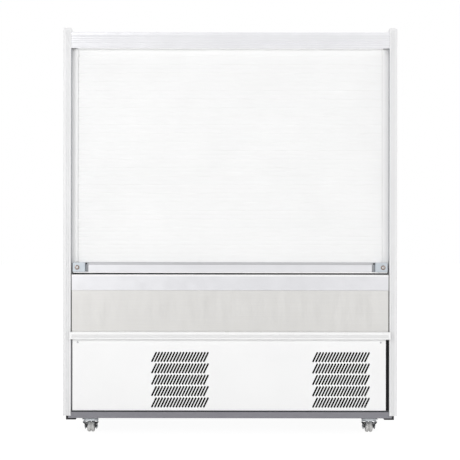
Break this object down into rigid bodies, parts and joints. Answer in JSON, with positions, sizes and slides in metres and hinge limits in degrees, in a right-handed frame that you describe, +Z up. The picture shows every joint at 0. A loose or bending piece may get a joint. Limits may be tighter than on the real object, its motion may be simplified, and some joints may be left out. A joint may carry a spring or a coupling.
{
  "type": "multideck display fridge",
  "caption": "Free-standing multideck display fridge with a locking front roller shutter, stainless front panel, vented service panel and braked casters.",
  "frame": {"origin": "on the floor, under the middle of the cabinet's overall box", "axes": "+Z up, +X to the right seen from the front, -Y towards the front where the shutter is"},
  "size_m": [1.5, 0.66, 1.829],
  "materials": {
    "insulated_panel": "white coated skin over a foam core",
    "trim_white": "satin white powder coat",
    "white_paint": "satin white powder coat",
    "silver_rail": "satin anodised",
    "stainless": "fine brushed",
    "shutter_white": "satin white lacquer on slats",
    "black_rubber": "matt",
    "grey_paint": "satin grey powder coat",
    "black_plastic": "moulded, lightly grained",
    "white_plastic": "extruded, semi-gloss",
    "clear_plastic": "clear extruded strip",
    "galvanised": "zinc-coated sheet",
    "zinc": "bright zinc plate",
    "lock_brass": "turned brass",
    "copper": "drawn copper tube",
    "black_paint": "gloss black enamel",
    "fin_aluminium": "thin rolled fin sheet",
    "fan_black": "moulded nylon",
    "wheel_grey": "grey rubber tread",
    "grey_plastic": "moulded",
    "screw_steel": "bright plated"
  },
  "bodies": {
    "cabinet": {"end_panel_left": "insulated_panel", "end_panel_right": "insulated_panel", "end_trims": "trim_white", "back_panel": "insulated_panel", "top_panel": "insulated_panel", "insulated_well": "insulated_panel", "base_frame": "grey_paint", "plinth_rail": "grey_paint", "end_skids": "black_plastic", "top_fascia": "silver_rail", "front_cap_rail": "silver_rail", "front_steel_panel": "stainless", "bumper_rail": "white_plastic", "shutter_box": "galvanised", "guide_rails": "white_plastic", "shutter_curtain": "shutter_white", "rear_duct_panel": "white_paint", "ceiling_duct_panel": "white_paint", "air_honeycomb": "white_plastic", "light_strip": "white_plastic", "return_grille": "white_paint", "deck_trays": "white_paint", "shelves": "white_paint", "shelf_brackets": "white_paint", "ticket_strips": "clear_plastic", "shelf_uprights": "white_paint", "evaporator_coil": "fin_aluminium", "evaporator_fan_plate": "galvanised", "compressor": "black_paint", "condenser_coil": "fin_aluminium", "fan_shroud": "galvanised", "evaporation_tray": "grey_plastic", "refrigerant_pipes": "copper", "control_box": "galvanised", "mains_gland": "black_plastic", "caster_plates": "zinc"},
    "shutter": {"shutter_bottom_rail": "silver_rail", "shutter_seal": "black_rubber", "lock_cases": "zinc"},
    "roller": {"shutter_roller": "galvanised"},
    "lock_turn_left": {"lock_barrel_left": "lock_brass"},
    "lock_turn_right": {"lock_barrel_right": "lock_brass"},
    "bolt_left": {"lock_bolt_left": "zinc"},
    "bolt_right": {"lock_bolt_right": "zinc"},
    "front_cover": {"service_panel": "white_paint", "service_screws": "screw_steel"},
    "condenser_rotor": {"condenser_fan": "fan_black"},
    "evaporator_rotor_left": {"evaporator_fan_left": "fan_black"},
    "evaporator_rotor_right": {"evaporator_fan_right": "fan_black"},
    "rocker": {"power_switch": "black_plastic"},
    "swivel_front_left": {"caster_fork_front_left": "zinc"},
    "wheel_front_left": {"caster_wheel_front_left": "wheel_grey"},
    "swivel_front_right": {"caster_fork_front_right": "zinc"},
    "wheel_front_right": {"caster_wheel_front_right": "wheel_grey"},
    "swivel_rear_left": {"caster_fork_rear_left": "zinc"},
    "wheel_rear_left": {"caster_wheel_rear_left": "wheel_grey"},
    "swivel_rear_right": {"caster_fork_rear_right": "zinc"},
    "wheel_rear_right": {"caster_wheel_rear_right": "wheel_grey"},
    "brake_front_left": {"caster_brake_front_left": "black_plastic"},
    "brake_front_right": {"caster_brake_front_right": "black_plastic"}
  },
  "joints": [
    {"name": "shutter_lift", "type": "slide", "parent": "cabinet", "child": "shutter", "axis": [0, 0, 1], "range_m": [0, 0.93], "deforming": ["shutter_curtain"]},
    {"name": "roller_turn", "type": "hinge", "parent": "cabinet", "child": "roller", "pos_m": [0, -0.2367, 1.765], "axis": [1, 0, 0], "continuous": true},
    {"name": "lock_left", "type": "hinge", "parent": "shutter", "child": "lock_turn_left", "pos_m": [-0.688, -0.3, 0.753], "axis": [0, 1, 0], "range_deg": [-90, 0]},
    {"name": "lock_right", "type": "hinge", "parent": "shutter", "child": "lock_turn_right", "pos_m": [0.688, -0.3, 0.753], "axis": [0, -1, 0], "range_deg": [-90, 0]},
    {"name": "bolt_slide_left", "type": "slide", "parent": "shutter", "child": "bolt_left", "axis": [-1, 0, 0], "range_m": [0, 0.01273]},
    {"name": "bolt_slide_right", "type": "slide", "parent": "shutter", "child": "bolt_right", "axis": [1, 0, 0], "range_m": [0, 0.01273]},
    {"name": "service_panel_pull", "type": "slide", "parent": "cabinet", "child": "front_cover", "axis": [0, -1, 0], "range_m": [0, 0.15]},
    {"name": "condenser_fan_spin", "type": "hinge", "parent": "cabinet", "child": "condenser_rotor", "pos_m": [-0.225, -0.1445, 0.232], "axis": [0, 1, 0], "continuous": true},
    {"name": "evaporator_fan_spin_left", "type": "hinge", "parent": "cabinet", "child": "evaporator_rotor_left", "pos_m": [-0.3, -0.033, 0.564], "axis": [0, 1, 0], "continuous": true},
    {"name": "evaporator_fan_spin_right", "type": "hinge", "parent": "cabinet", "child": "evaporator_rotor_right", "pos_m": [0.3, -0.033, 0.564], "axis": [0, 1, 0], "continuous": true},
    {"name": "power_switch_rock", "type": "hinge", "parent": "cabinet", "child": "rocker", "pos_m": [0.565, -0.174, 0.2055], "axis": [1, 0, 0], "range_deg": [0, 14]},
    {"name": "caster_swivel_front_left", "type": "hinge", "parent": "cabinet", "child": "swivel_front_left", "pos_m": [-0.634, -0.215, 0.06], "axis": [0, 0, 1], "continuous": true},
    {"name": "caster_roll_front_left", "type": "hinge", "parent": "swivel_front_left", "child": "wheel_front_left", "pos_m": [-0.634, -0.195, 0.025], "axis": [1, 0, 0], "continuous": true},
    {"name": "caster_brake_press_left", "type": "hinge", "parent": "swivel_front_left", "child": "brake_front_left", "pos_m": [-0.634, -0.195, 0.025], "axis": [1, 0, 0], "range_deg": [-12, 0]},
    {"name": "caster_swivel_front_right", "type": "hinge", "parent": "cabinet", "child": "swivel_front_right", "pos_m": [0.634, -0.215, 0.06], "axis": [0, 0, 1], "continuous": true},
    {"name": "caster_roll_front_right", "type": "hinge", "parent": "swivel_front_right", "child": "wheel_front_right", "pos_m": [0.634, -0.195, 0.025], "axis": [1, 0, 0], "continuous": true},
    {"name": "caster_brake_press_right", "type": "hinge", "parent": "swivel_front_right", "child": "brake_front_right", "pos_m": [0.634, -0.195, 0.025], "axis": [1, 0, 0], "range_deg": [-12, 0]},
    {"name": "caster_swivel_rear_left", "type": "hinge", "parent": "cabinet", "child": "swivel_rear_left", "pos_m": [-0.634, 0.255, 0.06], "axis": [0, 0, 1], "continuous": true},
    {"name": "caster_roll_rear_left", "type": "hinge", "parent": "swivel_rear_left", "child": "wheel_rear_left", "pos_m": [-0.634, 0.275, 0.025], "axis": [1, 0, 0], "continuous": true},
    {"name": "caster_swivel_rear_right", "type": "hinge", "parent": "cabinet", "child": "swivel_rear_right", "pos_m": [0.634, 0.255, 0.06], "axis": [0, 0, 1], "continuous": true},
    {"name": "caster_roll_rear_right", "type": "hinge", "parent": "swivel_rear_right", "child": "wheel_rear_right", "pos_m": [0.634, 0.275, 0.025], "axis": [1, 0, 0], "continuous": true}
  ],
  "couplings": [
    {"joint": "roller_turn", "follows": "shutter_lift", "rad_per_m": -27.397},
    {"joint": "bolt_slide_left", "follows": "lock_left", "m_per_rad": -0.0081042},
    {"joint": "bolt_slide_right", "follows": "lock_right", "m_per_rad": -0.0081042}
  ]
}
